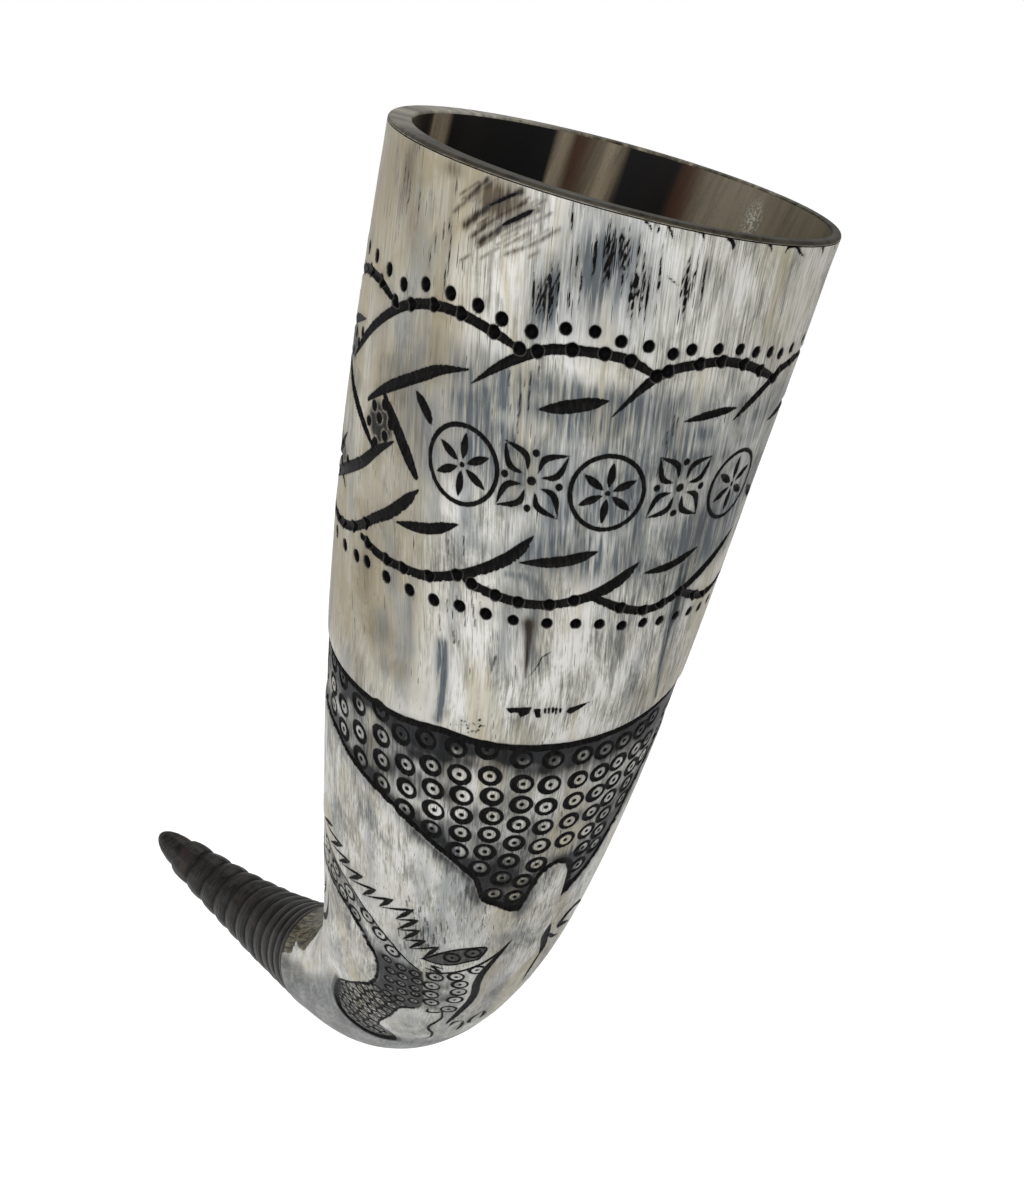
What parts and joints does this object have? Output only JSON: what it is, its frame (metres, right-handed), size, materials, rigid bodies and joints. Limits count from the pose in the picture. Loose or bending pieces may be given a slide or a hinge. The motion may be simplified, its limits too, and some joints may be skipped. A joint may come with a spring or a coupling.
{
  "type": "horn drinking cup",
  "caption": "Hollow curved horn cup with a flat rim, a clear lining and a dark ringed tip pegged to its lower end.",
  "frame": {"origin": "centre of the mouth, in the plane of the rim", "axes": "+Z straight out of the mouth, +X the side that the horn starts to bend towards"},
  "size_m": [0.1754, 0.1838, 0.283],
  "materials": {
    "pale_horn": "scraped and polished pale horn, cream to grey, with black-stained carving",
    "stained_horn": "matte black-brown stained horn",
    "peg_wood": "bare dowel",
    "clear_lining": "glossy clear coat over dark and tan horn"
  },
  "bodies": {
    "root": {"horn_shell": "pale_horn", "ringed_tip": "stained_horn", "tip_peg": "peg_wood", "bowl_lining": "clear_lining"}
  },
  "joints": []
}
